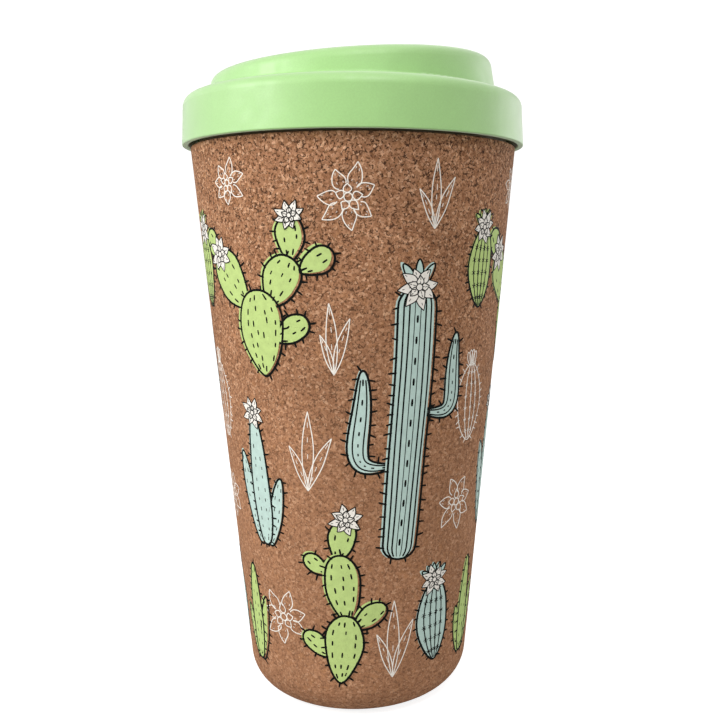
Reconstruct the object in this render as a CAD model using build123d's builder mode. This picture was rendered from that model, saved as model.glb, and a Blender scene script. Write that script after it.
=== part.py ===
from build123d import *

import os
from math import cos, radians, tan

# Travel cup: a cork sleeve round a double-wall cup, with a press-on lid and a hinged sip flap.
# Millimetres, +Z up. The origin is the centre of the base, on the surface that the cup stands on.
# +X points to the drinking side, where the lid's slanted lip is highest.

# Driving dimensions: the outside of the cup
lid_radius = 45.0  # outside of the lid's skirt, at its lower edge
skirt_z = 146.9  # height of the skirt's lower edge
cork_radius = 42.9  # outside of the cork, level with the skirt's lower edge
wall_lean = 5.27  # degrees that the cup's side leans out from the vertical
base_edge_radius = 10.0  # rounding of the cork's bottom edge

# Walls of the cup, each measured level
cork_wall = 2.5
shell_wall = 1.3
air_gap = 2.0
liner_wall = 1.4
liner_floor = 1.6
liner_edge_radius = 7.4  # outside rounding of the inner cup's bottom
base_thickness = 3.0  # cork under the cup
base_disc_radius = 16.0
disc_chamfer = 0.4
cork_top_z = skirt_z - 0.35  # the cork ends just under the lid's skirt
rim_z = 156.8  # top of the cup's rim
cork_top_round = 0.3
rim_radius = 41.4
rim_round = 0.6
rim_thickness = 1.4

# Lid cap
cap_wall = 1.7
skirt_wall = 1.6  # at the skirt's lower edge
skirt_inner_draft = 0.2
band_height = 12.0
band_draft = 0.58
band_top_radius = 2.86
shoulder_slope = 10.4  # degrees
lip_radius = 37.7  # outside of the raised wall, where it meets the shoulder
lip_draft = 9.4  # degrees
lip_z = 167.6  # height of the slanted lip on the cup's axis
lip_slope = 4.56  # degrees, rising towards +X
lip_outer_round = 3.0
lip_inner_round = 1.3
recess_radius = 31.0
recess_floor_z = 160.8
recess_draft = 4.0  # degrees
skirt_edge_round = 0.3
skirt_inner_round = 0.3
shoulder_round = 0.7
recess_round = 1.0

# Flap, its hinge and the drinking hole
hinge_x = 2.0
hinge_z = recess_floor_z + 3.4
pin_radius = 1.0
pin_clearance = 0.05
knuckle_radius = 2.4
flap_width = 19.0
flap_thickness = 2.2
flap_tip_radius = recess_radius - 1.0
lug_gap = 0.3
lug_thickness = 2.4
lug_root = 0.1  # how far the lugs go into the recess floor
pin_chamfer = 0.2
hole_x = 23.6
hole_length = 13.0  # across the lid
hole_width = 7.6
stopper_clearance = 0.1
stopper_depth = 2.5
stopper_taper = 12.0  # degrees
stopper_flange = 1.4  # how far the stopper's flange laps the hole's edge
vent_x = -20.0
vent_radius = 1.0

# Seal and plug
seal_z = 149.4
seal_height = 3.0
rib_thickness = 1.0
rib_clearance = 0.4
lip_count = 2
seal_body = 0.7
seal_lip = 0.8
seal_foot = 0.3  # from the seal's lower edge to its first lip
rest_gap = 0.05  # between the lid and the cup, and between the flap and the lid
plug_bottom_z = 145.7
plug_inner_radius = recess_radius + cap_wall
plug_wall = 1.5
plug_outer_draft = 0.4
plug_inner_draft = 0.3
plug_straight = 1.0  # depth of the plug's inside before it leans out
plug_end_round = 0.5
collar_top_z = 162.0
flange_gap = 0.2  # between the flange's root and the hollow in the lip
insert_flange_radius = 40.5


def side_radius(inset, z):
    """Radius at height z of the surface that lies inset inside the cork's outer surface."""
    return cork_radius - inset + (z - skirt_z) * tan(radians(wall_lean))


shell_inset = cork_wall
gap_inset = shell_inset + shell_wall
liner_inset = gap_inset + air_gap
inside_inset = liner_inset + liner_wall

shell_floor_z = base_thickness + shell_wall
liner_bottom_z = shell_floor_z + air_gap
liner_floor_z = liner_bottom_z + liner_floor


level_tolerance = 0.01


def outer_corner(height):
    """The corner of the sketch in hand that lies farthest from the axis at that height."""
    level = vertices().filter_by_position(Axis.Y, height - level_tolerance, height + level_tolerance)
    return level.sort_by(Axis.X)[-1]


def save(piece, name):
    """Labels a finished piece and writes it to its own file."""
    piece.part.label = name
    export_step(piece.part, f"parts/{name}.step")


os.makedirs("parts", exist_ok=True)

# Cork sleeve: a tapered tube whose bottom edge turns under to meet the base disc
with BuildPart() as cork_sleeve:
    with BuildSketch(Plane.XZ):
        with BuildLine():
            Polyline(
                (base_disc_radius, 0),
                (side_radius(0, 0), 0),
                (side_radius(0, cork_top_z), cork_top_z),
                (side_radius(cork_wall, cork_top_z), cork_top_z),
                (side_radius(cork_wall, base_thickness), base_thickness),
                (base_disc_radius, base_thickness),
                close=True,
            )
        make_face()
        fillet(outer_corner(0), base_edge_radius)
        fillet(outer_corner(base_thickness), base_edge_radius - base_thickness)
        fillet(outer_corner(cork_top_z), cork_top_round)
    revolve(axis=Axis.Z)
save(cork_sleeve, "cork_sleeve")

# Cork base: a disc glued into the sleeve's bottom, flush with it
with BuildPart() as cork_base:
    with BuildSketch():
        Circle(base_disc_radius)
    extrude(amount=base_thickness)
    chamfer(edges().group_by(Axis.Z)[0], disc_chamfer)
save(cork_base, "cork_base")

# Outer wall of the double wall: its outside fits the cork, and its top ends under the cup's rim
rim_bottom_z = rim_z - rim_thickness
with BuildPart() as outer_wall:
    with BuildSketch(Plane.XZ):
        with BuildLine():
            Polyline(
                (0, base_thickness),
                (side_radius(shell_inset, base_thickness), base_thickness),
                (side_radius(shell_inset, rim_bottom_z), rim_bottom_z),
                (side_radius(gap_inset, rim_bottom_z), rim_bottom_z),
                (side_radius(gap_inset, shell_floor_z), shell_floor_z),
                (0, shell_floor_z),
                close=True,
            )
        make_face()
        fillet(outer_corner(base_thickness), base_edge_radius - base_thickness)
        fillet(outer_corner(shell_floor_z), base_edge_radius - base_thickness - shell_wall)
    revolve(axis=Axis.Z)
save(outer_wall, "outer_wall")

# Inner cup: the drinking cup, with a rim that turns out over the outer wall's top
with BuildPart() as inner_cup:
    with BuildSketch(Plane.XZ):
        with BuildLine():
            Polyline(
                (0, liner_bottom_z),
                (side_radius(liner_inset, liner_bottom_z), liner_bottom_z),
                (side_radius(liner_inset, rim_bottom_z), rim_bottom_z),
                (rim_radius, rim_bottom_z),
                (rim_radius, rim_z),
                (side_radius(inside_inset, rim_z), rim_z),
                (side_radius(inside_inset, liner_floor_z), liner_floor_z),
                (0, liner_floor_z),
                close=True,
            )
        make_face()
        fillet(outer_corner(liner_bottom_z), liner_edge_radius)
        fillet(outer_corner(liner_floor_z), liner_edge_radius - liner_wall)
        fillet(vertices().group_by(Axis.Y)[-1], rim_round)
    revolve(axis=Axis.Z)
save(inner_cup, "inner_cup")

# Lid cap
band_z = skirt_z + band_height
shoulder_rise = tan(radians(shoulder_slope))
band_radius = lid_radius - band_draft
shoulder_z = band_z + (band_radius - lip_radius) * shoulder_rise
lip_rise = tan(radians(lip_slope))
lip_plane = Plane(origin=(0, 0, lip_z), x_dir=(1, 0, lip_rise), z_dir=(-lip_rise, 0, 1))
stock_z = 176.0  # above the slanted lip all round


def lip_outer_radius(z):
    """Radius of the raised wall's outside at height z."""
    return lip_radius - (z - shoulder_z) * tan(radians(lip_draft))


def cap_underside_z(radius):
    """Height of the shoulder's underside at that radius."""
    return band_z + (band_radius - radius) * shoulder_rise - cap_wall / cos(radians(shoulder_slope))


skirt_inner_radius = lid_radius - skirt_wall
skirt_top_radius = skirt_inner_radius - skirt_inner_draft
channel_outer_radius = lip_radius - cap_wall

# The hollow inside the lip, open below, which keeps the moulded wall even
with BuildPart() as lip_hollow:
    with BuildSketch(Plane.XZ):
        with BuildLine():
            Polyline(
                (plug_inner_radius, recess_floor_z - cap_wall),
                (channel_outer_radius, recess_floor_z - cap_wall),
                (lip_outer_radius(stock_z) - cap_wall, stock_z),
                (plug_inner_radius, stock_z),
                close=True,
            )
        make_face()
    revolve(axis=Axis.Z)
    split(bisect_by=lip_plane.offset(-cap_wall), keep=Keep.BOTTOM)

with BuildPart() as lid_cap:
    # Outside: skirt, shoulder and raised wall, cut off by the slanted plane of the lip
    with BuildSketch(Plane.XZ):
        with BuildLine():
            Polyline(
                (0, skirt_z),
                (lid_radius, skirt_z),
                (band_radius, band_z),
                (lip_radius, shoulder_z),
                (lip_outer_radius(stock_z), stock_z),
                (0, stock_z),
                close=True,
            )
        make_face()
        fillet(outer_corner(skirt_z), skirt_edge_round)
        fillet(outer_corner(band_z), band_top_radius)
        fillet(outer_corner(shoulder_z), shoulder_round)
    revolve(axis=Axis.Z)
    split(bisect_by=lip_plane, keep=Keep.BOTTOM)
    # Recessed top
    with BuildSketch(Plane.XZ):
        with BuildLine():
            Polyline(
                (0, recess_floor_z),
                (recess_radius, recess_floor_z),
                (recess_radius + (stock_z - recess_floor_z) * tan(radians(recess_draft)), stock_z),
                (0, stock_z),
                close=True,
            )
        make_face()
        fillet(outer_corner(recess_floor_z), recess_round)
    revolve(axis=Axis.Z, mode=Mode.SUBTRACT)
    lip_edges = faces().filter_by(GeomType.PLANE).sort_by(Axis.Z)[-1].edges().sort_by(SortBy.LENGTH)
    fillet(lip_edges[-1], lip_outer_round)
    lip_face = faces().filter_by(GeomType.PLANE).sort_by(Axis.Z)[-1]
    fillet(lip_face.edges().sort_by(SortBy.LENGTH)[0], lip_inner_round)
    # Underside: room for the cup's rim and the insert, and the hollow inside the lip
    with BuildSketch(Plane.XZ):
        with BuildLine():
            Polyline(
                (0, skirt_z),
                (skirt_inner_radius, skirt_z),
                (skirt_top_radius, cap_underside_z(skirt_top_radius)),
                (channel_outer_radius, cap_underside_z(channel_outer_radius)),
                (channel_outer_radius, recess_floor_z - cap_wall),
                (0, recess_floor_z - cap_wall),
                close=True,
            )
        make_face()
    revolve(axis=Axis.Z, mode=Mode.SUBTRACT)
    fillet(edges().group_by(Axis.Z)[0].sort_by(SortBy.LENGTH)[0], skirt_inner_round)
    add(lip_hollow.part, mode=Mode.SUBTRACT)
    # Drinking hole and vent
    with BuildSketch(Plane.XY.offset(recess_floor_z)):
        with Locations((hole_x, 0)):
            SlotOverall(hole_length, hole_width, rotation=90)
        with Locations((vent_x, 0)):
            Circle(vent_radius)
    extrude(amount=-2 * cap_wall, mode=Mode.SUBTRACT)
    # Hinge lugs
    lug_y = flap_width / 2 + lug_gap
    lug_height = hinge_z - recess_floor_z + lug_root
    for side in (-1, 1):
        with BuildSketch(Plane.XZ.offset(-side * lug_y)):
            with Locations((hinge_x, hinge_z)):
                Circle(knuckle_radius)
            with Locations((hinge_x, recess_floor_z - lug_root)):
                Rectangle(2 * knuckle_radius, lug_height, align=(Align.CENTER, Align.MIN))
        extrude(amount=-side * lug_thickness)
    with BuildSketch(Plane.XZ):
        with Locations((hinge_x, hinge_z)):
            Circle(pin_radius)
    extrude(amount=lug_y + lug_thickness, both=True, mode=Mode.SUBTRACT)
save(lid_cap, "lid_cap")

# Lid insert: a collar inside the lip, a flange on the cup's rim and a plug with two ribs
flange_bottom_z = rim_z + rest_gap
plug_outer_radius = plug_inner_radius + plug_wall
flange_root_radius = channel_outer_radius + flange_gap
seal_top_z = seal_z + seal_height
with BuildPart() as lid_insert:
    with BuildSketch(Plane.XZ):
        with BuildLine():
            Polyline(
                (plug_inner_radius, collar_top_z),
                (plug_outer_radius, collar_top_z),
                (plug_outer_radius, cap_underside_z(flange_root_radius)),
                (flange_root_radius, cap_underside_z(flange_root_radius)),
                (insert_flange_radius, cap_underside_z(insert_flange_radius)),
                (insert_flange_radius, flange_bottom_z),
                (plug_outer_radius, flange_bottom_z),
                (plug_outer_radius, seal_top_z + rib_thickness),
                (side_radius(inside_inset, seal_top_z) - rib_clearance, seal_top_z + rib_thickness),
                (side_radius(inside_inset, seal_top_z) - rib_clearance, seal_top_z),
                (plug_outer_radius, seal_top_z),
                (plug_outer_radius, seal_z),
                (side_radius(inside_inset, seal_z - rib_thickness) - rib_clearance, seal_z),
                (side_radius(inside_inset, seal_z - rib_thickness) - rib_clearance, seal_z - rib_thickness),
                (plug_outer_radius, seal_z - rib_thickness),
                (plug_outer_radius - plug_outer_draft, plug_bottom_z),
                (plug_inner_radius - plug_inner_draft, plug_bottom_z),
                (plug_inner_radius, cap_underside_z(plug_inner_radius) - plug_straight),
                close=True,
            )
        make_face()
        fillet(vertices().group_by(Axis.Y)[0], plug_end_round)
    revolve(axis=Axis.Z)
save(lid_insert, "lid_insert")

# Lid seal: a ring with two lips that reach to the cup's inside
with BuildPart() as lid_seal:
    with BuildSketch(Plane.XZ):
        with Locations((plug_outer_radius, seal_z)):
            Rectangle(seal_body, seal_height, align=(Align.MIN, Align.MIN))
        for level in range(lip_count):
            lip_low_z = seal_z + seal_foot + level * seal_height / lip_count
            with BuildLine():
                Polyline(
                    (plug_outer_radius, lip_low_z),
                    (side_radius(inside_inset, lip_low_z) - rest_gap, lip_low_z + seal_lip / 2),
                    (side_radius(inside_inset, lip_low_z) - rest_gap, lip_low_z + seal_lip),
                    (plug_outer_radius, lip_low_z + seal_lip),
                    close=True,
                )
            make_face()
    revolve(axis=Axis.Z)
save(lid_seal, "lid_seal")

# Hinge pin, held in the cap's lugs
with BuildPart() as flap_pin:
    with BuildSketch(Plane.XZ):
        with Locations((hinge_x, hinge_z)):
            Circle(pin_radius)
    extrude(amount=lug_y + lug_thickness, both=True)
    chamfer(edges().filter_by(GeomType.CIRCLE), pin_chamfer)
save(flap_pin, "flap_pin")

# Sip flap: a knuckle on the pin, a plate over the drinking hole and a ridge to lift it by
flap_bottom_z = hinge_z - flap_thickness
flap_corner_radius = 3.0
flap_edge_round = 0.5
ridge_width = 2.2
ridge_length = 12.0
ridge_height = 1.6
stem_radius = 2.6
button_radius = 4.0
button_depth = 0.9
with BuildPart() as sip_flap:
    with BuildSketch(Plane.XY.offset(flap_bottom_z)):
        with Locations((hinge_x, 0)):
            Rectangle(2 * recess_radius, flap_width, align=(Align.MIN, Align.CENTER))
        Circle(flap_tip_radius, mode=Mode.INTERSECT)
        fillet(vertices().group_by(Axis.X)[-1], flap_corner_radius)
    extrude(amount=flap_thickness)
    fillet(edges().group_by(Axis.Z)[-1], flap_edge_round)
    with BuildSketch(Plane.XY.offset(flap_bottom_z)):
        with Locations((flap_tip_radius, 0)):
            Rectangle(2 * ridge_width, ridge_length)
        Circle(flap_tip_radius, mode=Mode.INTERSECT)
        Circle(flap_tip_radius - ridge_width, mode=Mode.SUBTRACT)
    extrude(amount=flap_thickness + ridge_height)
    fillet(edges().group_by(Axis.Z)[-1], flap_edge_round)
    with BuildSketch(Plane.XZ):
        with Locations((hinge_x, hinge_z)):
            Circle(knuckle_radius)
    extrude(amount=flap_width / 2, both=True)
    with BuildSketch(Plane.XZ):
        with Locations((hinge_x, hinge_z)):
            Circle(pin_radius + pin_clearance)
    extrude(amount=flap_width, both=True, mode=Mode.SUBTRACT)
    with Locations((hole_x, 0, hinge_z)):
        CounterBoreHole(stem_radius, button_radius, button_depth)
save(sip_flap, "sip_flap")

# Flap stopper: a tapered oval plug and flange under the flap, held by a stem and a button
flange_low_z = recess_floor_z + rest_gap
with BuildPart() as flap_stopper:
    with BuildSketch(Plane.XY.offset(flange_low_z)):
        with Locations((hole_x, 0)):
            SlotOverall(
                hole_length - 2 * stopper_clearance,
                hole_width - 2 * stopper_clearance,
                rotation=90,
            )
    extrude(amount=-stopper_depth, taper=stopper_taper)
    with BuildSketch(Plane.XY.offset(flange_low_z)):
        with Locations((hole_x, 0)):
            SlotOverall(hole_length + 2 * stopper_flange, hole_width + 2 * stopper_flange, rotation=90)
    extrude(amount=flap_bottom_z - flange_low_z)
    with BuildSketch(Plane.XY.offset(flap_bottom_z)):
        with Locations((hole_x, 0)):
            Circle(stem_radius)
    extrude(amount=flap_thickness - button_depth)
    with BuildSketch(Plane.XY.offset(hinge_z - button_depth)):
        with Locations((hole_x, 0)):
            Circle(button_radius)
    extrude(amount=button_depth)
save(flap_stopper, "flap_stopper")
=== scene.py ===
import math
import random

import bpy
from mathutils import Matrix, Vector
from mathutils.geometry import delaunay_2d_cdt


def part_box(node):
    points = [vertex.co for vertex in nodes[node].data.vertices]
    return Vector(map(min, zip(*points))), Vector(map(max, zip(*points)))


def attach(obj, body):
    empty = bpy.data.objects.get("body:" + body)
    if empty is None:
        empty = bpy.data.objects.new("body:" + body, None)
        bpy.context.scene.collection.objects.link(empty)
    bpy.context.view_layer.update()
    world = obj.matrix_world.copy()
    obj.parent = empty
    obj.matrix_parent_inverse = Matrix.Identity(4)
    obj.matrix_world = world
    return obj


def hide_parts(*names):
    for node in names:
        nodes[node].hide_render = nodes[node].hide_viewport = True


# The looks of the travel cup: cork with a printed cactus pattern, a green lid and a pale inner cup.
# Everything is in metres, in the frame of the CAD model: +Z up, origin at the centre of the base.
# The pattern is this script's own, drawn by formulas in four inks and repeated round the cup.

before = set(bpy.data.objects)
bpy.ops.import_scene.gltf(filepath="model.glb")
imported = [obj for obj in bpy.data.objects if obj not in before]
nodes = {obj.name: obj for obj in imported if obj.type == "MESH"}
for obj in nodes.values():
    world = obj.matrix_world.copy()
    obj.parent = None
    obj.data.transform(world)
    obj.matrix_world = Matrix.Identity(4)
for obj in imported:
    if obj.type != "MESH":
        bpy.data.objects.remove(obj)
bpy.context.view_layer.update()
MM = 0.001


# ---------------------------------------------------------------- node materials

def start_material(name):
    """A new material with a Principled shader. Returns the material, its tree and the shader."""
    mat = bpy.data.materials.new(name)
    mat.use_nodes = True
    tree = mat.node_tree
    tree.nodes.clear()
    shader = tree.nodes.new("ShaderNodeBsdfPrincipled")
    output = tree.nodes.new("ShaderNodeOutputMaterial")
    tree.links.new(shader.outputs["BSDF"], output.inputs["Surface"])
    return mat, tree, shader


def plug(tree, socket, value):
    """Sets an input to a number or colour, or links it to another node's output."""
    if isinstance(value, bpy.types.NodeSocket):
        tree.links.new(value, socket)
    elif isinstance(value, tuple) and len(value) == 3 and socket.type == "RGBA":
        socket.default_value = (*value, 1.0)
    else:
        socket.default_value = value


def add_node(tree, kind, inputs=None, **settings):
    """A node with its settings and inputs given by name or number."""
    made = tree.nodes.new("ShaderNode" + kind)
    for key, value in settings.items():
        setattr(made, key, value)
    for key, value in (inputs or {}).items():
        plug(tree, made.inputs[key], value)
    return made


def object_coords(tree):
    """Coordinates in metres, fixed to the piece."""
    return add_node(tree, "TexCoord").outputs["Object"]


def noise(tree, coords, size, detail=2.0):
    """Noise whose blobs are about size metres across."""
    settings = {"Vector": coords, "Scale": 1 / size, "Detail": detail}
    return add_node(tree, "TexNoise", settings).outputs["Fac"]


def cells(tree, coords, size, feature="F1"):
    """Voronoi cells about size metres across. Returns the node."""
    return add_node(tree, "TexVoronoi", {"Vector": coords, "Scale": 1 / size}, feature=feature)


def ramp(tree, value, stops):
    """A colour ramp over (position, colour) stops. A colour is a grey number or red, green and blue."""
    made = add_node(tree, "ValToRGB", {"Fac": value})
    elements = made.color_ramp.elements
    while len(elements) < len(stops):
        elements.new(0.5)
    for element, (position, colour) in zip(elements, stops):
        element.position = position
        grey = isinstance(colour, float)
        element.color = (colour, colour, colour, 1.0) if grey else (*colour, 1.0)
    return made.outputs["Color"]


def mix(tree, factor, first, second, how="MIX"):
    """Two colours blended. Factor 0 gives the first."""
    made = add_node(tree, "Mix", data_type="RGBA", blend_type=how)
    plug(tree, made.inputs["Factor"], factor)
    colours = [s for s in made.inputs if s.type == "RGBA"]
    plug(tree, colours[0], first)
    plug(tree, colours[1], second)
    return next(s for s in made.outputs if s.type == "RGBA")


def maths(tree, operation, *values):
    """A sum, product or the like of numbers and sockets."""
    made = add_node(tree, "Math", operation=operation)
    for socket, value in zip(made.inputs, values):
        plug(tree, socket, value)
    return made.outputs[0]


def bump(tree, height, depth, strength):
    """A bump of depth metres from a 0 to 1 height."""
    made = add_node(tree, "Bump", {"Height": height, "Distance": depth, "Strength": strength})
    return made.outputs["Normal"]


def warped(tree, coords, size, amount):
    """Coordinates pushed about by noise, so that cells lose their straight sides."""
    shift = add_node(tree, "TexNoise", {"Vector": coords, "Scale": 1 / size, "Detail": 2.0})
    middle = {0: shift.outputs["Color"], 1: (0.5, 0.5, 0.5)}
    centred = add_node(tree, "VectorMath", middle, operation="SUBTRACT")
    scaled = add_node(tree, "VectorMath", {0: centred.outputs[0], "Scale": amount}, operation="SCALE")
    moved = add_node(tree, "VectorMath", {0: coords, 1: scaled.outputs[0]}, operation="ADD")
    return moved.outputs[0]


# ---------------------------------------------------------------- materials

GRANULE = 0.60 * MM
FINE_GRANULE = 0.30 * MM
SPECK = 0.48 * MM
SEAM_CELL = 1.0 * MM
SLEEVE_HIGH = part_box("cork_sleeve")[1]  # the sleeve's highest corner
GRANULE_TONES = [
    (0.00, (0.262, 0.116, 0.056)),
    (0.25, (0.345, 0.163, 0.082)),
    (0.60, (0.420, 0.208, 0.110)),
    (0.85, (0.515, 0.270, 0.148)),
    (1.00, (0.690, 0.405, 0.245)),
]
CORK_MIDDLE = (0.425, 0.210, 0.112)
CORK_MARK = (0.050, 0.022, 0.012)
CORK_WARM = (0.50, 0.235, 0.105)


def cork_relief(tree, coords):
    """Height of the ground cork's surface: domed granules with pits between them."""
    dome = -0.35  # a granule falls away from its middle
    pit = 0.8
    granules = cells(tree, warped(tree, coords, 0.6 * MM, 0.4 * MM), GRANULE).outputs["Distance"]
    pits = ramp(tree, noise(tree, coords, SPECK, 3.0), [(0.33, 0.0), (0.43, 1.0)])
    return maths(tree, "ADD", maths(tree, "MULTIPLY", granules, dome), maths(tree, "MULTIPLY", pits, pit))


def cork_cracks(tree, coords):
    """Short dark marks: broken pieces of the seams between coarse granules."""
    loose = warped(tree, coords, 0.7 * SEAM_CELL, 0.6 * SEAM_CELL)
    edges = cells(tree, loose, SEAM_CELL, "DISTANCE_TO_EDGE").outputs[0]
    seams = ramp(tree, edges, [(0.06, 1.0), (0.13, 0.0)])
    here = ramp(tree, noise(tree, coords, 0.9 * SEAM_CELL, 2.0), [(0.51, 0.0), (0.57, 1.0)])
    return maths(tree, "MULTIPLY", seams, here)


def cork_granules(tree, coords, share, fine_tone):
    """The colour of the granules: coarse ones of five tones, shaded by fine ones, and calmer low down."""
    granule = cells(tree, coords, GRANULE)
    tone = add_node(tree, "SeparateColor", {"Color": granule.outputs["Color"]}).outputs["Red"]
    calm = ramp(tree, share, [(0.35, 0.45), (0.85, 0.0)])
    colour = mix(tree, calm, ramp(tree, tone, GRANULE_TONES), CORK_MIDDLE)
    shade = ramp(tree, fine_tone, [(0.0, 0.78), (0.5, 0.98), (1.0, 1.18)])
    return mix(tree, ramp(tree, share, [(0.35, 0.5), (0.95, 1.0)]), colour, shade, "MULTIPLY")


def cork_marks(tree, coords, share):
    """Dark pits and cracks, fainter low down."""
    specks = ramp(tree, noise(tree, coords, SPECK, 3.0), [(0.35, 1.0), (0.41, 0.0)])
    dark = maths(tree, "MAXIMUM", specks, cork_cracks(tree, coords))
    return maths(tree, "MULTIPLY", dark, ramp(tree, share, [(0.35, 0.42), (0.95, 0.95)]))


def cork_material():
    """Ground and pressed cork, which looks calmer towards the base."""
    mat, tree, shader = start_material("cork")
    coords = object_coords(tree)
    loose = warped(tree, coords, 0.6 * MM, 0.5 * MM)
    height = add_node(tree, "SeparateXYZ", {"Vector": coords}).outputs["Z"]
    share = maths(tree, "DIVIDE", height, SLEEVE_HIGH.z)
    fine = cells(tree, loose, FINE_GRANULE)
    fine_tone = add_node(tree, "SeparateColor", {"Color": fine.outputs["Color"]}).outputs["Green"]
    colour = cork_granules(tree, loose, share, fine_tone)
    colour = mix(tree, cork_marks(tree, coords, share), colour, CORK_MARK)
    warm = ramp(tree, noise(tree, coords, 1.7 * MM, 3.0), [(0.56, 0.0), (0.68, 0.35)])
    colour = mix(tree, warm, colour, CORK_WARM)
    patches = ramp(tree, noise(tree, coords, 20 * MM, 3.0), [(0.3, 0.90), (0.7, 1.08)])
    colour = mix(tree, 1.0, colour, patches, "MULTIPLY")
    plug(tree, shader.inputs["Base Color"], colour)
    rough = ramp(tree, fine_tone, [(0.0, 0.92), (1.0, 0.72)])
    plug(tree, shader.inputs["Roughness"], rough)
    shader.inputs["Specular IOR Level"].default_value = 0.1
    plug(tree, shader.inputs["Normal"], bump(tree, cork_relief(tree, coords), 0.09 * MM, 0.8))
    return mat


def ink_material(name, colour):
    """Screen-printed ink: nearly flat, thin over the pits of the cork, with the cork's relief showing."""
    wear = 0.06  # how much of the cork shows through at a pit
    cork_brown = (0.24, 0.12, 0.07)
    mat, tree, shader = start_material(name)
    coords = object_coords(tree)
    mottle = ramp(tree, noise(tree, coords, 1.6 * MM, 3.0), [(0.3, 0.93), (0.7, 1.05)])
    inked = mix(tree, 1.0, colour, mottle, "MULTIPLY")
    thin = ramp(tree, noise(tree, coords, SPECK, 3.0), [(0.30, 1.0), (0.40, 0.0)])
    worn = mix(tree, maths(tree, "MULTIPLY", thin, wear), inked, cork_brown)
    plug(tree, shader.inputs["Base Color"], worn)
    dull = ramp(tree, noise(tree, coords, 0.5 * MM), [(0.3, 0.5), (0.7, 0.7)])
    plug(tree, shader.inputs["Roughness"], dull)
    shader.inputs["Specular IOR Level"].default_value = 0.05
    plug(tree, shader.inputs["Normal"], bump(tree, cork_relief(tree, coords), 0.05 * MM, 0.6))
    return mat


def moulded_material(name, colour, roughness, sheen=0.0, gloss=0.5):
    """Moulded plastic or silicone: faint tone changes and a fine, even grain from the mould."""
    grain = 0.25 * MM
    grain_depth = 0.006 * MM
    mat, tree, shader = start_material(name)
    coords = object_coords(tree)
    tone = ramp(tree, noise(tree, coords, 9 * MM, 4.0), [(0.3, 0.965), (0.7, 1.03)])
    dust = ramp(tree, noise(tree, coords, 0.35 * MM, 2.0), [(0.35, 0.965), (0.65, 1.025)])
    shaded = mix(tree, 1.0, mix(tree, 1.0, colour, tone, "MULTIPLY"), dust, "MULTIPLY")
    plug(tree, shader.inputs["Base Color"], shaded)
    spread = ramp(tree, noise(tree, coords, 3 * MM, 3.0), [(0.3, roughness - 0.05), (0.7, roughness + 0.06)])
    plug(tree, shader.inputs["Roughness"], spread)
    shader.inputs["Sheen Weight"].default_value = sheen
    shader.inputs["Specular IOR Level"].default_value = gloss
    plug(tree, shader.inputs["Normal"], bump(tree, noise(tree, coords, grain), grain_depth, 0.6))
    return mat


def steel_material():
    """Bright steel with fine drawn lines along the pin."""
    mat, tree, shader = start_material("pin_steel")
    coords = object_coords(tree)
    stretched = add_node(tree, "Mapping", {"Vector": coords, "Scale": (1.0, 0.03, 1.0)}).outputs["Vector"]
    lines = noise(tree, stretched, 0.12 * MM, 3.0)
    plug(tree, shader.inputs["Base Color"], ramp(tree, lines, [(0.3, 0.46), (0.7, 0.62)]))
    shader.inputs["Metallic"].default_value = 1.0
    plug(tree, shader.inputs["Roughness"], ramp(tree, lines, [(0.3, 0.28), (0.7, 0.42)]))
    plug(tree, shader.inputs["Normal"], bump(tree, lines, 0.004 * MM, 0.5))
    return mat


LIME = (0.52, 0.665, 0.237)
AQUA = (0.54, 0.70, 0.635)
CREAM = (0.92, 0.87, 0.79)
BLACK = (0.006, 0.007, 0.006)

cork = cork_material()
lid_green = moulded_material("lid_green", (0.325, 0.590, 0.190), 0.50, sheen=0.65, gloss=0.9)
cup_plastic = moulded_material("cup_plastic", (0.80, 0.77, 0.69), 0.38)
# Painted shade: the outer wall's dark brown stands in for the shadow in the thin gap between the cork's top
# and the lid's skirt, the only place it shows.
wall_plastic = moulded_material("wall_plastic", (0.34, 0.25, 0.14), 0.45)
silicone = moulded_material("clear_silicone", (0.74, 0.80, 0.70), 0.55, sheen=0.2)
pin_steel = steel_material()
inks = {
    "green": ink_material("ink_green", LIME),
    "teal": ink_material("ink_teal", AQUA),
    "white": ink_material("ink_white", CREAM),
    "black": ink_material("ink_black", BLACK),
}

node_materials = {
    "cork_base": cork,
    "outer_wall": wall_plastic,
    "inner_cup": cup_plastic,
    "lid_cap": lid_green,
    "lid_insert": cup_plastic,
    "lid_seal": silicone,
    "flap_pin": pin_steel,
    "sip_flap": lid_green,
    "flap_stopper": silicone,
}
for node_name, mat in node_materials.items():
    for slot in nodes[node_name].material_slots:
        slot.material = mat


# ---------------------------------------------------------------- the cork sleeve

WALL_LEAN = math.radians(5.27)
EDGE_RADIUS = 10 * MM
CORK_WALL = 2.5 * MM
CORK_FLOOR = 3.0 * MM
TOP_ROUND = 0.3 * MM
DISC_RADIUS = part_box("cork_base")[1].x
TURNS = 288  # points round the cup


def distance_from_axis(point):
    """How far a point lies from the cup's axis."""
    return math.hypot(point[0], point[1])


sleeve_points = [v.co for v in nodes["cork_sleeve"].data.vertices]
top_points = [p for p in sleeve_points if p.z > SLEEVE_HIGH.z - 2 * TOP_ROUND]
widest = max(top_points, key=distance_from_axis)


def cork_radius(z):
    """Radius of the cork's outside at height z, on its straight side."""
    return distance_from_axis(widest) + (z - widest.z) * math.tan(WALL_LEAN)


def arc(centre, radius, start, end, steps):
    """Points of an arc in the plane of a profile, from one angle to another."""
    angles = [start + (end - start) * k / steps for k in range(steps + 1)]
    return [(centre[0] + radius * math.cos(a), centre[1] + radius * math.sin(a)) for a in angles]


def corner_arc(foot_radius, floor, radius, steps):
    """The rounded bottom edge between a level floor and the leaning side, from the floor upwards."""
    reach = radius / math.tan((math.pi / 2 + WALL_LEAN) / 2)
    centre = (foot_radius - reach, floor + radius)
    return arc(centre, radius, -math.pi / 2, -WALL_LEAN, steps)


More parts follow.
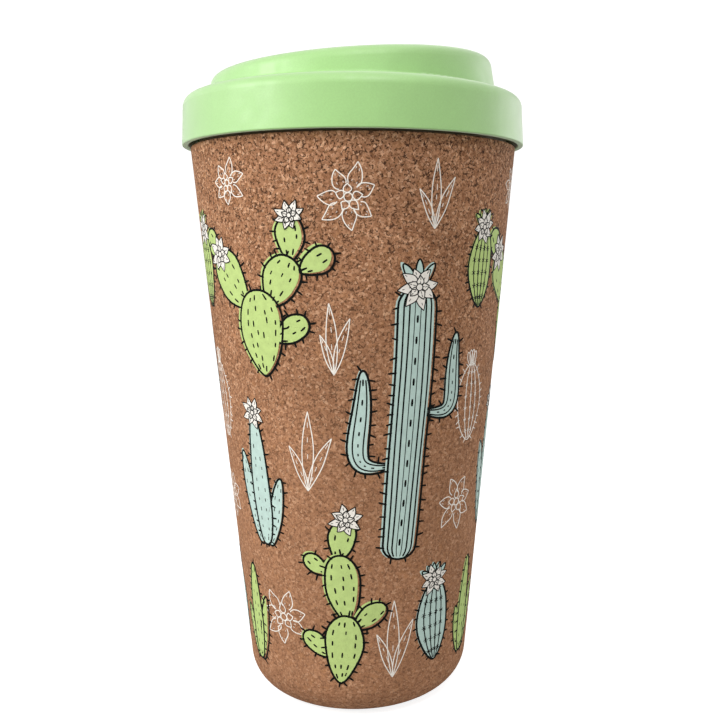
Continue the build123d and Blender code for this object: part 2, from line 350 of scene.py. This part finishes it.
def straight(a, b, steps):
    """Points between a and b, without a itself."""
    return [(a[0] + (b[0] - a[0]) * k / steps, a[1] + (b[1] - a[1]) * k / steps) for k in range(1, steps + 1)]


def lathe(name, profile):
    """A closed mesh from a closed profile of (radius, height) turned about Z."""
    verts = []
    for k in range(TURNS):
        a = 2 * math.pi * k / TURNS
        verts += [(r * math.cos(a), r * math.sin(a), z) for r, z in profile]
    count = len(profile)
    faces = []
    for k in range(TURNS):
        here = k * count
        there = (k + 1) % TURNS * count
        for i in range(count):
            j = (i + 1) % count
            faces.append((here + i, there + i, there + j, here + j))
    mesh = bpy.data.meshes.new(name)
    mesh.from_pydata(verts, [], faces)
    mesh.validate()
    return mesh


def add_piece(name, mesh, mat, body):
    """A piece made of a mesh, riding on a body."""
    made = bpy.data.objects.new(name, mesh)
    bpy.context.scene.collection.objects.link(made)
    mesh.materials.append(mat)
    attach(made, body)
    return made


def make_sleeve():
    """The cork sleeve again, with more points along its sides, for the print to lie on."""
    outer = corner_arc(cork_radius(0), 0, EDGE_RADIUS, steps=14)
    shoulder_z = SLEEVE_HIGH.z - TOP_ROUND
    side = straight(outer[-1], (cork_radius(shoulder_z), shoulder_z), steps=60)
    rounded = arc((cork_radius(shoulder_z) - TOP_ROUND, shoulder_z), TOP_ROUND, 0, math.pi / 2, steps=5)
    inner_top = (cork_radius(SLEEVE_HIGH.z) - CORK_WALL, SLEEVE_HIGH.z)
    floor_radius = cork_radius(CORK_FLOOR) - CORK_WALL
    inner = corner_arc(floor_radius, CORK_FLOOR, EDGE_RADIUS - CORK_FLOOR, steps=10)
    profile = [(DISC_RADIUS, 0)] + outer + side + rounded[1:] + [inner_top] + inner[::-1]
    profile += [(DISC_RADIUS, CORK_FLOOR)]
    mesh = lathe("sleeve", profile)
    mesh.shade_smooth()
    made = add_piece("cork_sleeve_fine", mesh, cork, "cup")
    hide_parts("cork_sleeve")


make_sleeve()


# ---------------------------------------------------------------- the print: drawing on the cup
# A motif is drawn in millimetres on its own flat sheet, y up, then laid on the cup's side.

FRONT = math.radians(-116)  # direction of the middle of the print's front
random.seed(7)


class Layer:
    """The ink of one colour: slabs that stand a little proud of the cork."""

    def __init__(self):
        self.verts = []
        self.faces = []


layers = {name: Layer() for name in inks}
INK_FOOT = -0.02  # a slab's foot lies this far under the cork's surface, in millimetres
INK_STEP = 0.006  # each later coat stands this much higher
GRID = 1.2  # spacing of the points inside a fill
REACH = 1.0  # longest straight piece of a line, so that it follows the cup's side
EDGE_GAP = 0.4 * GRID  # the inside points of a fill keep this far from its outline
FIRST_COAT = 3  # the lowest coat of a motif, clear of the cork


class Motif:
    """Where a drawing lies on the cup, and how many coats of ink it has so far."""

    def __init__(self, angle, height, tilt):
        self.angle = FRONT + math.radians(angle)
        self.height = height
        self.tilt = math.radians(tilt)
        self.coat = FIRST_COAT

    def place(self, point, lift):
        """The point on the cup, in metres, of a point of the drawing."""
        x, y = point
        c, s = math.cos(self.tilt), math.sin(self.tilt)
        across, up = c * x - s * y, s * x + c * y
        z = (self.height + up * math.cos(WALL_LEAN)) * MM
        radius = cork_radius(z)
        turn = self.angle + across * MM / radius
        out = radius + lift * MM
        return (out * math.cos(turn), out * math.sin(turn), z)

    def slab(self, ink, points, tops, rim):
        """A slab with the given top faces, closed by walls along the rim and a foot in the cork."""
        layer = layers[ink]
        count = len(points)
        base = len(layer.verts)
        layer.verts += [self.place(p, self.coat * INK_STEP) for p in points]
        layer.verts += [self.place(p, INK_FOOT) for p in points]
        top = [tuple(base + i for i in t) for t in tops]
        foot = [tuple(base + count + i for i in reversed(t)) for t in tops]
        walls = [(base + b, base + a, base + count + a, base + count + b) for a, b in rim]
        layer.faces += top + foot + walls

    def fill(self, ink, outline):
        """A filled shape, with points inside it too, so that it follows the cup's side."""
        outline = divided(outline, closed=True)
        low_x, high_x = min(p[0] for p in outline), max(p[0] for p in outline)
        low_y, high_y = min(p[1] for p in outline), max(p[1] for p in outline)
        inside = []
        for i in range(1, int((high_y - low_y) / GRID) + 1):
            for j in range(1, int((high_x - low_x) / GRID) + 1):
                spot = (low_x + j * GRID, low_y + i * GRID)
                if within(spot, outline) and gap_to(spot, outline) > EDGE_GAP:
                    inside.append(spot)
        points = [Vector(p) for p in outline + inside]
        solved = delaunay_2d_cdt(points, [], [list(range(len(outline)))], 1, 1e-5)
        verts = [tuple(v) for v in solved[0]]
        triangles = [tuple(f) for f in solved[2]]
        edges = {(a, b) for t in triangles for a, b in zip(t, t[1:] + t[:1])}
        rim = [e for e in sorted(edges) if (e[1], e[0]) not in edges]
        self.slab(ink, verts, triangles, rim)

    def stroke(self, ink, path, width, closed=False, taper=0.35):
        """A pen line. Its ends narrow to taper times its width."""
        path = divided(path, closed)
        count = len(path)
        left, right = [], []
        for k in range(count):
            if closed:
                before, after = path[k - 1], path[(k + 1) % count]
            else:
                before, after = path[max(k - 1, 0)], path[min(k + 1, count - 1)]
            dx, dy = after[0] - before[0], after[1] - before[1]
            size = math.hypot(dx, dy) or 1.0
            half = width / 2
            if not closed and k in (0, count - 1):
                half *= taper
            nx, ny = -dy / size * half, dx / size * half
            left.append((path[k][0] + nx, path[k][1] + ny))
            right.append((path[k][0] - nx, path[k][1] - ny))
        quads, rim = [], []
        for k in range(count if closed else count - 1):
            n = (k + 1) % count
            quads.append((k, count + k, count + n, n))
            rim += [(n, k), (count + k, count + n)]
        if not closed:
            rim += [(0, count), (2 * count - 1, count - 1)]
        self.slab(ink, left + right, quads, rim)


def divided(path, closed):
    """The same line with no straight piece longer than REACH."""
    made = []
    ends = path[1:] + (path[:1] if closed else [])
    for (x1, y1), (x2, y2) in zip(path, ends):
        parts = max(1, math.ceil(math.hypot(x2 - x1, y2 - y1) / REACH))
        made += [(x1 + (x2 - x1) * k / parts, y1 + (y2 - y1) * k / parts) for k in range(parts)]
    return made if closed else made + [path[-1]]


def within(spot, outline):
    """True if the spot lies inside the closed outline."""
    x, y = spot
    inside = False
    for (x1, y1), (x2, y2) in zip(outline, outline[1:] + outline[:1]):
        if (y1 > y) != (y2 > y) and x < (x2 - x1) * (y - y1) / (y2 - y1) + x1:
            inside = not inside
    return inside


def gap_to(spot, outline):
    """Distance from the spot to the outline's nearest point."""
    return min(math.hypot(spot[0] - p[0], spot[1] - p[1]) for p in outline)


# ---------------------------------------------------------------- the print: limbs and their marks

# Widths of the pen lines, in millimetres
OUTLINE = 0.56
RIB_LINE = 0.42
SPINE = 0.48
FINE_LINE = 0.24
CHALK = 0.25

SMOOTH = 34  # pieces of line along one side of a limb
WOBBLE = 0.035  # how far a hand-drawn limb's width strays, as a share
OVERLAP = 0.05  # points of an outline nearer than this are one point


def bezier(points, t):
    """The point at t of the Bezier curve with these control points."""
    while len(points) > 1:
        points = [(a[0] + (b[0] - a[0]) * t, a[1] + (b[1] - a[1]) * t) for a, b in zip(points, points[1:])]
    return points[0]


def swell(peak, blunt):
    """Width along a limb as a share of its full width: widest at peak, with ends that blunt shapes."""
    power = math.log(0.5) / math.log(peak)

    def width(t):
        return math.sin(math.pi * t ** power) ** blunt if 0 < t < 1 else 0.0

    return width


PAD = swell(0.61, 0.44)
EGG = swell(0.56, 0.55)
BARREL = swell(0.52, 0.55)
FINGER = swell(0.45, 0.42)
ARM = swell(0.60, 0.42)
LEAF = swell(0.45, 1.0)
PETAL = swell(0.36, 0.95)


def club(foot_width, peak, foot, cap):
    """Width along a limb that widens from its foot to peak, with round ends foot and cap long."""

    def width(t):
        body = foot_width + (1 - foot_width) * min(t / peak, 1.0)
        if t < foot:
            body *= math.sqrt(max(0.0, 1 - (1 - t / foot) ** 2))
        if t > 1 - cap:
            body *= math.sqrt(max(0.0, 1 - (1 - (1 - t) / cap) ** 2))
        return body

    return width


TRUNK = club(0.86, 0.6, 0.05, 0.07)


class Limb:
    """A part of a plant: a middle line with a width along it."""

    def __init__(self, line, width, shape):
        self.line = line
        self.width = width
        self.shape = shape
        self.wave = random.uniform(0, 2 * math.pi)

    def at(self, t, share):
        """The point at t along the limb and share of the half width to the left of its middle."""
        x, y = bezier(self.line, t)
        near = 0.01
        x1, y1 = bezier(self.line, max(t - near, 0))
        x2, y2 = bezier(self.line, min(t + near, 1))
        size = math.hypot(x2 - x1, y2 - y1) or 1.0
        wobble = 1 + WOBBLE * math.sin(9 * t + self.wave + 2 * share)
        half = self.width / 2 * self.shape(t) * share * wobble
        return (x - (y2 - y1) / size * half, y + (x2 - x1) / size * half)

    def run(self, share, start=0.0, end=1.0, steps=SMOOTH):
        """A line along the limb at a share of its half width. Points crowd towards the ends."""
        eased = [0.5 - 0.5 * math.cos(math.pi * k / steps) for k in range(steps + 1)]
        return [self.at(start + (end - start) * e, share) for e in eased]

    def outline(self, steps=SMOOTH):
        """The closed outline, turning left round the limb."""
        ring = []
        for p in self.run(-1, steps=steps) + self.run(1, steps=steps)[::-1]:
            if not ring or math.dist(p, ring[-1]) > OVERLAP:
                ring.append(p)
        while math.dist(ring[0], ring[-1]) < OVERLAP:
            ring.pop()
        return ring

    def length(self):
        """Length of the middle line, near enough for spacing marks."""
        spots = [bezier(self.line, k / 8) for k in range(9)]
        return sum(math.dist(a, b) for a, b in zip(spots, spots[1:]))


def shifted(points, move):
    return [(x + move[0], y + move[1]) for x, y in points]


def off_register():
    """How far a colour missed its outline on the press: always to the left, and mostly up."""
    return random.uniform(-0.8, -0.1), random.uniform(-0.2, 0.6)


def circle(centre, radius):
    count = 14
    angles = [2 * math.pi * k / count for k in range(count)]
    return [(centre[0] + radius * math.cos(a), centre[1] + radius * math.sin(a)) for a in angles]


def spines(motif, ink, ring, spacing, length, width=SPINE):
    """Short strokes that stand out round an outline."""
    ring = divided(ring, closed=True)
    root = 0.35  # how far a spine starts inside the outline
    travelled = 0.0
    target = spacing * random.uniform(0.4, 1.0)
    for (x1, y1), (x2, y2) in zip(ring, ring[1:] + ring[:1]):
        travelled += math.hypot(x2 - x1, y2 - y1)
        if travelled < target:
            continue
        travelled = 0.0
        target = spacing * random.uniform(0.7, 1.35)
        heading = math.atan2(y2 - y1, x2 - x1) - math.pi / 2 + random.uniform(-0.4, 0.4)
        reach = length * random.uniform(0.75, 1.2)
        start = (x1 - root * math.cos(heading), y1 - root * math.sin(heading))
        tip = (x1 + reach * math.cos(heading), y1 + reach * math.sin(heading))
        motif.stroke(ink, [start, tip], width, taper=0.7)


def dashes(motif, ink, limb, rows, across, size=1.3, width=SPINE):
    """Short marks inside a limb, along it."""
    for i in range(rows):
        for j in range(across):
            t = (i + 0.75 + random.uniform(-0.2, 0.2)) / (rows + 0.5)
            share = (j + 0.5) / across * 2 - 1 + random.uniform(-0.15, 0.15)
            if across > 1 and random.random() < 0.1:
                continue
            half = size * random.uniform(0.35, 0.6) / max(limb.length(), 1.0)
            a = limb.at(max(t - half, 0.02), share * 0.8)
            b = limb.at(min(t + half, 0.97), share * 0.8)
            motif.stroke(ink, [a, b], width, taper=0.7)


def stars(motif, ink, limb, share, count, size=1.5, width=0.30):
    """Crossed spines along a rib."""
    for k in range(count):
        x, y = limb.at((k + 0.8) / (count + 0.6), share)
        turn = random.uniform(0, math.pi)
        for arm in range(3):
            a = turn + arm * math.pi / 3 + random.uniform(-0.2, 0.2)
            dx, dy = size / 2 * math.cos(a), size / 2 * math.sin(a)
            motif.stroke(ink, [(x - dx, y - dy), (x + dx, y + dy)], width, taper=0.5)


def tinted(motif, colour, limb, spacing=2.2, length=1.45):
    """A coloured limb with its black outline and spines."""
    ring = limb.outline()
    motif.coat += 1
    motif.fill(colour, shifted(ring, off_register()))
    motif.coat += 1
    motif.stroke("black", ring, OUTLINE, closed=True)
    spines(motif, "black", ring, spacing, length)


# ---------------------------------------------------------------- the print: flowers and leaves

def petal(centre, angle, start, end, width, bend):
    """A petal that points away from the flower's centre, with its middle moved aside by bend."""
    c, s = math.cos(angle), math.sin(angle)
    foot = (centre[0] + start * c, centre[1] + start * s)
    tip = (centre[0] + end * c, centre[1] + end * s)
    middle = ((foot[0] + tip[0]) / 2 - bend * s, (foot[1] + tip[1]) / 2 + bend * c)
    return Limb([foot, middle, tip], width, PETAL)


def petals(centre, size, count, start, width):
    """A ring of petals of uneven length, each bent a little."""
    made = []
    for k in range(count):
        angle = 0.3 + 2 * math.pi * (k + random.uniform(-0.14, 0.14)) / count
        reach = size * random.uniform(0.86, 1.12)
        made.append(petal(centre, angle, start, reach, width, random.uniform(-0.12, 0.12) * size))
    return made


def blossom(motif, centre, size):
    """A white flower with fine dark lines, drawn over what lies under it."""
    outer = petals(centre, size, 8, 0.15 * size, 0.50 * size)
    inner = petals(centre, 0.56 * size, 5, 0.08 * size, 0.36 * size)
    for group in (outer[::2], outer[1::2], inner):
        motif.coat += 2
        for leaf in group:
            motif.fill("white", leaf.outline(12))
        motif.coat += 1
        for leaf in group:
            motif.stroke("black", leaf.outline(12), FINE_LINE, closed=True)
            dashes(motif, "black", leaf, 2, 1, 0.7, FINE_LINE)
    motif.coat += 2
    motif.fill("white", circle(centre, 0.16 * size))
    motif.coat += 1
    motif.stroke("black", circle(centre, 0.16 * size), FINE_LINE, closed=True)


def chalk_flower(motif, size):
    """A flower in outline: pointed petals round a few small ones."""
    for leaf in petals((0, 0), size, 7, 0.30 * size, 0.44 * size):
        motif.stroke("white", leaf.run(1, 0.1, 1.0, 14), CHALK)
        motif.stroke("white", leaf.run(-1, 0.1, 1.0, 14), CHALK)
        dashes(motif, "white", leaf, 2, 2, 0.5, 0.7 * CHALK)
    for leaf in petals((0, 0), 0.46 * size, 5, 0.14 * size, 0.26 * size):
        motif.stroke("white", leaf.outline(12), CHALK, closed=True)
    motif.stroke("white", circle((0, 0), 0.13 * size), CHALK, closed=True)


def chalk_leaves(motif, leaves):
    """Pointed leaves in outline from one point, each given as its lean in degrees and its length."""
    for lean, length in leaves:
        angle = math.radians(90 - lean)
        bend = math.radians(90 - 1.3 * lean)
        middle = (0.55 * length * math.cos(angle), 0.55 * length * math.sin(angle))
        tip = (length * math.cos(bend), length * math.sin(bend))
        leaf = Limb([(0, 0), middle, tip], 0.5 + 0.125 * length, LEAF)
        motif.stroke("white", leaf.outline(), CHALK, closed=True)
        dashes(motif, "white", leaf, 4, 1, 1.4, 0.7 * CHALK)


def chalk_barrel(motif, length, width):
    """A ribbed barrel cactus in outline, with a tuft on top."""
    body = Limb([(0, 0), (0.3, length / 2), (0, length)], width, BARREL)
    ring = body.outline()
    motif.stroke("white", ring, CHALK, closed=True)
    spines(motif, "white", ring, 1.9, 1.2, CHALK)
    for share in (-0.5, -0.08, 0.38):
        motif.stroke("white", body.run(share, 0.02, 0.98), CHALK)
        stars(motif, "white", body, share, 6, 1.2, 0.8 * CHALK)
    for lean in (-0.75, -0.25, 0.25, 0.75):
        tip = (2.3 * lean, length + 3.6 - abs(lean))
        sprout = Limb([(0.9 * lean, length - 0.6), tip], 1.3, EGG)
        motif.stroke("white", sprout.outline(12), CHALK, closed=True)


# ---------------------------------------------------------------- the print: cacti

def tuft(motif, colour, foot, leans, length):
    """Small shoots that fan out behind a flower."""
    rings = []
    for lean in leans:
        turn = math.radians(lean)
        tip = (foot[0] + length * math.sin(turn), foot[1] + length * math.cos(turn))
        middle = (foot[0] + 0.55 * length * math.sin(0.8 * turn), foot[1] + 0.5 * length)
        rings.append(Limb([foot, middle, tip], 0.26 * length, EGG).outline(14))
    motif.coat += 1
    for ring in rings:
        motif.fill(colour, shifted(ring, off_register()))
    motif.coat += 1
    for ring in rings:
        motif.stroke("black", ring, RIB_LINE, closed=True)


def barrel(motif, colour, length, width, bloom):
    """A ribbed barrel cactus with a tuft and a flower."""
    tuft(motif, colour, (0, length - 2.0), (-42, -22, -4, 15, 36), 6.2)
    body = Limb([(0.6, 0), (-0.6, length / 2), (0.2, length)], width, BARREL)
    tinted(motif, colour, body, 2.0, 1.2)
    for share in (-0.56, -0.18, 0.2, 0.58):
        motif.stroke("black", body.run(share, 0.02, 0.97), 0.85 * RIB_LINE)
        stars(motif, "black", body, share, 6)
    blossom(motif, (-0.2, length - 0.4), bloom)


def pad(motif, colour, foot, lean, length, width, rows, across):
    """A spiny oval pad that grows from foot, at a lean in degrees to the right. Returns its tip."""
    turn = math.radians(lean)
    tip = (foot[0] + length * math.sin(turn), foot[1] + length * math.cos(turn))
    limb = Limb([foot, ((foot[0] + tip[0]) / 2, (foot[1] + tip[1]) / 2), tip], width, PAD)
    tinted(motif, colour, limb)
    dashes(motif, "black", limb, rows, across)
    return tip


def prickly_pear(motif, colour, size):
    """A prickly pear: a large pad, smaller ones on its shoulders, and a flower on one of them."""

    def at(x, y):
        return (x * size, y * size)

    pad(motif, colour, at(-0.62, 1.42), -38, 0.42 * size, 0.30 * size, 2, 2)
    crown = pad(motif, colour, at(0.52, 1.32), 6, 0.52 * size, 0.36 * size, 3, 2)
    pad(motif, colour, at(0.62, 1.20), 64, 0.46 * size, 0.30 * size, 2, 2)
    left = pad(motif, colour, at(-0.18, 0.82), -36, 0.82 * size, 0.54 * size, 4, 3)
    pad(motif, colour, at(0.16, 0.82), 34, 0.66 * size, 0.48 * size, 4, 3)
    pad(motif, colour, at(0.20, 0.42), 62, 0.50 * size, 0.30 * size, 3, 2)
    pad(motif, colour, at(0, 0), 0, 1.02 * size, 0.66 * size, 7, 4)
    blossom(motif, (left[0] + 0.06 * size, left[1] - 0.02 * size), 4.8)
    blossom(motif, crown, 3.6)


def pad_chain(motif, colour, size):
    """A slim prickly pear whose pads stand one on another, with a flower on top."""

    def at(x, y):
        return (x * size, y * size)

    top = pad(motif, colour, at(-0.06, 1.84), 10, 0.62 * size, 0.38 * size, 3, 2)
    pad(motif, colour, at(-0.16, 1.64), -58, 0.44 * size, 0.26 * size, 2, 2)
    pad(motif, colour, at(0.10, 0.92), -8, 1.02 * size, 0.50 * size, 5, 3)
    pad(motif, colour, at(0.16, 0.84), 52, 0.58 * size, 0.32 * size, 3, 2)
    pad(motif, colour, at(-0.10, 0.40), -54, 0.54 * size, 0.30 * size, 3, 2)
    pad(motif, colour, at(0, 0), 4, 1.04 * size, 0.54 * size, 6, 3)
    blossom(motif, top, 4.2)


def saguaro(motif, colour, height, width):
    """A tall ribbed column with a raised arm on each side, and a flower on top."""

    def arm(side, root, rise, wide):
        line = [(0.2, root), (1.7, root - 0.05), (1.02, root + 0.06), (1.22, root + rise)]
        return Limb([(side * x * width, y * height) for x, y in line], wide * width, ARM)

    for limb in (arm(-1, 0.36, 0.34, 0.52), arm(1, 0.56, 0.28, 0.48)):
        tinted(motif, colour, limb, 2.4, 1.6)
        for share in (-0.5, 0.5):
            motif.stroke("black", limb.run(share, 0.03, 0.96), 0.85 * RIB_LINE)
        stitches(motif, limb, 0.0, 10, 0.03, SPINE)
    tuft(motif, colour, (0, height - 1.6), (-34, -3, 28), 8.0)
    trunk = Limb([(0, 0), (0.1 * width, 0.5 * height), (0, height)], width, TRUNK)
    tinted(motif, colour, trunk, 2.7, 1.6)
    for share in (-0.72, -0.44, 0.44, 0.72):
        motif.stroke("black", trunk.run(share, 0.01, 0.985), RIB_LINE)
    for share in (-0.16, 0.16):
        motif.stroke("black", trunk.run(share, 0.01, 0.97), 0.5 * RIB_LINE)
    stitches(motif, trunk, 0.0, 13, 0.026, 1.3 * SPINE)
    blossom(motif, (0, height - 0.2), 5.2)


def stitches(motif, limb, share, count, long, width):
    """A row of short marks along a rib, each long as a share of the limb."""
    for k in range(count):
        t = (k + 0.7) / (count + 0.4)
        motif.stroke("black", [limb.at(t, share), limb.at(t + long, share)], width, taper=0.7)


def organ_pipes(motif, colour, fingers, bloom=None):
    """A clump of upright fingers, each given as foot x, tip x, height and width."""
    for foot, tip, height, width in fingers:
        finger = Limb([(0.3 * foot, 0), (foot, 0.45 * height), (tip, height)], width, FINGER)
        tinted(motif, colour, finger, 2.3, 1.2)
        dashes(motif, "black", finger, max(3, int(height / 2.8)), 2, 0.9, 0.75 * SPINE)
    if bloom is not None:
        foot, tip, height, width = fingers[bloom]
        blossom(motif, (tip, height + 0.4), 3.9)


# ---------------------------------------------------------------- the print: layout
# Angles are in degrees round the cup from the middle of a repeat, heights in millimetres.

REPEATS = 3


def draw_repeat(turn):
    """One repeat of the pattern, a third of the way round the cup."""

    def motif(angle, height, tilt=0.0):
        return Motif(turn + angle, height, tilt)

    prickly_pear(motif(-35, 90, 3), "green", 20.5)
    chalk_flower(motif(-2, 132), 7.4)
    chalk_flower(motif(-46, 136), 5.6)
    chalk_leaves(motif(27, 125), [(-20, 10), (0, 16), (18, 13)])
    barrel(motif(50, 106, -2), "green", 20, 10.0, 4.3)
    chalk_leaves(motif(-8, 91), [(-14, 10), (-2, 17), (13, 14)])
    saguaro(motif(17, 44, -3), "teal", 68, 10.0)
    pipes = [(-4.2, -6.0, 24, 4.6), (4.4, 7.0, 18, 4.2), (0.2, 0.2, 34, 6.2)]
    organ_pipes(motif(-43, 46, 2), "teal", pipes, 2)
    chalk_leaves(motif(-20, 62), [(-17, 12), (2, 20), (20, 15)])
    chalk_barrel(motif(51, 72, 2), 20, 10.4)
    chalk_flower(motif(47, 56), 7.0)
    pad_chain(motif(-9, 11, -2), "green", 18)
    chalk_flower(motif(-37, 27), 7.6)
    barrel(motif(38, 14, 2), "teal", 23, 10.2, 4.2)
    chalk_leaves(motif(16, 12), [(-15, 13), (0, 21), (15, 16)])
    pipes = [(-3.0, -4.6, 14, 3.4), (3.2, 5.2, 19, 3.8), (0.0, 0.2, 27, 5.2)]
    organ_pipes(motif(-58, 12, -1), "green", pipes)


def make_print():
    """Draws the whole pattern, then makes one piece of each colour's ink."""
    for k in range(REPEATS):
        draw_repeat(k * 360 / REPEATS)
    for name, layer in layers.items():
        mesh = bpy.data.meshes.new("print_" + name)
        mesh.from_pydata(layer.verts, [], layer.faces)
        mesh.validate()
        piece = add_piece("print_" + name, mesh, inks[name], "cup")


make_print()


# ---------------------------------------------------------------- stage, light and camera

def make_floor():
    """White paper that the camera sees brighter than it lights the cup."""
    mesh = bpy.data.meshes.new("floor")
    reach = 3.0
    low = -0.1 * MM  # just clear of the cup's base
    glow = 1.5
    corners = [(-reach, -reach, low), (reach, -reach, low), (reach, reach, low), (-reach, reach, low)]
    mesh.from_pydata(corners, [], [(0, 1, 2, 3)])
    mat, tree, shader = start_material("floor_paper")
    tone = ramp(tree, noise(tree, object_coords(tree), 60 * MM, 3.0), [(0.3, 0.53), (0.7, 0.57)])
    plug(tree, shader.inputs["Base Color"], tone)
    plug(tree, shader.inputs["Emission Color"], tone)
    seen = add_node(tree, "LightPath").outputs["Is Camera Ray"]
    plug(tree, shader.inputs["Emission Strength"], maths(tree, "MULTIPLY", seen, glow))
    shader.inputs["Roughness"].default_value = 0.9
    shader.inputs["Specular IOR Level"].default_value = 0.1
    mesh.materials.append(mat)
    floor = bpy.data.objects.new("floor", mesh)
    bpy.context.scene.collection.objects.link(floor)


def make_world():
    """A white room: white to look at and in reflections, and a softer white as light."""
    light = 0.50
    brighter_when_seen = 0.60
    world = bpy.data.worlds.new("studio")
    bpy.context.scene.world = world
    world.use_nodes = True
    tree = world.node_tree
    tree.nodes.clear()
    ray = add_node(tree, "LightPath").outputs
    seen = maths(tree, "MAXIMUM", ray["Is Camera Ray"], ray["Is Glossy Ray"])
    strength = maths(tree, "ADD", maths(tree, "MULTIPLY", seen, brighter_when_seen), light)
    shader = add_node(tree, "Background", {"Color": (1.0, 1.0, 1.0), "Strength": strength})
    output = tree.nodes.new("ShaderNodeOutputWorld")
    tree.links.new(shader.outputs[0], output.inputs["Surface"])


CENTRE = Vector((0, 0, 0.5 * SLEEVE_HIGH.z))


def add_light(name, azimuth, height, distance, size, power):
    """A square soft box that faces the cup. Azimuth is counted from the camera, to its right."""
    data = bpy.data.lights.new(name, "AREA")
    data.shape = "RECTANGLE"
    data.size, data.size_y = size
    data.energy = power
    lamp = bpy.data.objects.new(name, data)
    bpy.context.scene.collection.objects.link(lamp)
    turn = FRONT + math.radians(azimuth)
    lamp.location = CENTRE + Vector((math.cos(turn) * distance, math.sin(turn) * distance, height))
    aim = CENTRE - lamp.location
    lamp.rotation_mode = "QUATERNION"
    lamp.rotation_quaternion = aim.to_track_quat("-Z", "Y")


def make_camera():
    """A little above the cup's middle, looking slightly down, with the cup a little off the centre."""
    focal_share = 1.258  # focal length over the picture's width
    distance = 247.6 * MM
    height = 120.6 * MM
    down = math.radians(7.0)
    right = math.radians(2.669)
    roll = math.radians(0.242)
    data = bpy.data.cameras.new("camera")
    data.sensor_width = 36.0
    data.lens = focal_share * data.sensor_width
    data.shift_x = -0.055
    data.clip_start = 0.01
    camera = bpy.data.objects.new("camera", data)
    bpy.context.scene.collection.objects.link(camera)
    place = Matrix.Rotation(FRONT + math.pi / 2, 4, "Z")
    place = place @ Matrix.Translation((0, -distance, height))
    place = place @ Matrix.Rotation(-right, 4, "Z")
    place = place @ Matrix.Rotation(math.pi / 2 - down, 4, "X")
    camera.matrix_world = place @ Matrix.Rotation(-roll, 4, "Z")
    bpy.context.scene.camera = camera


make_floor()
make_world()
add_light("key", -64, 0.38, 0.70, (0.40, 0.40), 4.1)
add_light("front", 8, 0.80, 0.60, (0.25, 0.25), 3.0)
add_light("edge", 125, 0.05, 0.60, (0.15, 0.50), 0.9)
make_camera()
bpy.context.scene.view_settings.view_transform = "Standard"
